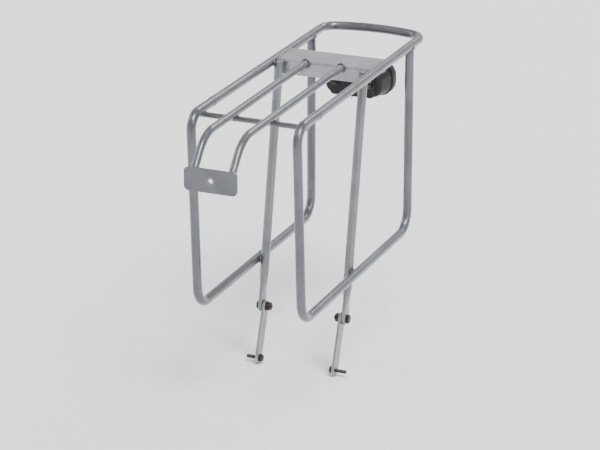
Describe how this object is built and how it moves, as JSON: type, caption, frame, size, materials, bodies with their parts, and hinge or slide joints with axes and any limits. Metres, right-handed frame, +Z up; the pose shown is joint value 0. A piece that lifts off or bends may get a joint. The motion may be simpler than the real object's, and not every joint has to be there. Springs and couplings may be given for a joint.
{
  "type": "bicycle rear rack",
  "caption": "Tubular rear luggage rack with a narrow tube platform, drop-down side loops, one strut and pivoting foot link each side, and a rear light under the platform.",
  "frame": {"origin": "centre of the hole in the front bracket, halfway through its plate", "axes": "+X forward along the bicycle, +Y to its left side, +Z up"},
  "size_m": [0.5529, 0.155, 0.4018],
  "materials": {
    "rack_paint": "satin silver-grey lacquer on steel tube",
    "strut_paint": "satin silver lacquer, lighter than the frame",
    "plate_paint": "satin light grey lacquer on sheet",
    "link_steel": "zinc-plated steel bar",
    "dark_fasteners": "black oxide steel",
    "zinc_fasteners": "zinc-plated steel",
    "hanger_paint": "black powder coat",
    "lamp_black": "moulded black plastic",
    "lens_red": "translucent red plastic",
    "seal_rubber": "soft black rubber",
    "reflector_chrome": "metallised plastic",
    "board_green": "solder mask",
    "emitter_red": "red tinted epoxy",
    "terminal_brass": "bare brass"
  },
  "bodies": {
    "rack": {"platform_hoop": "rack_paint", "left_side_loop": "rack_paint", "right_side_loop": "rack_paint", "left_inner_rail": "rack_paint", "right_inner_rail": "rack_paint", "front_crossbar": "rack_paint", "front_bracket": "rack_paint", "cross_plate": "plate_paint", "left_strut": "strut_paint", "right_strut": "strut_paint", "strut_end_plugs": "strut_paint", "pivot_bolts": "dark_fasteners", "pivot_washers": "dark_fasteners", "pivot_nuts": "dark_fasteners", "light_hanger": "hanger_paint", "hanger_bolts": "zinc_fasteners", "hanger_washers": "zinc_fasteners", "hanger_nuts": "zinc_fasteners", "light_housing": "lamp_black", "light_lens": "lens_red", "light_seal": "seal_rubber", "light_reflector": "reflector_chrome", "light_board": "board_green", "light_emitters": "emitter_red", "light_terminals": "terminal_brass", "light_bolts": "zinc_fasteners", "light_washers": "zinc_fasteners", "light_nuts": "zinc_fasteners", "lens_screws": "zinc_fasteners"},
    "left_link": {"left_foot_link": "link_steel", "left_eyelet_bolt": "dark_fasteners", "left_eyelet_washer": "dark_fasteners"},
    "right_link": {"right_foot_link": "link_steel", "right_eyelet_bolt": "dark_fasteners", "right_eyelet_washer": "dark_fasteners"}
  },
  "joints": [
    {"name": "left_link_pivot", "type": "hinge", "parent": "rack", "child": "left_link", "pos_m": [-0.286, 0.0551, -0.278], "axis": [0, 1, 0], "range_deg": [-70, 70]},
    {"name": "right_link_pivot", "type": "hinge", "parent": "rack", "child": "right_link", "pos_m": [-0.286, -0.0551, -0.278], "axis": [0, 1, 0], "range_deg": [-70, 70]}
  ]
}
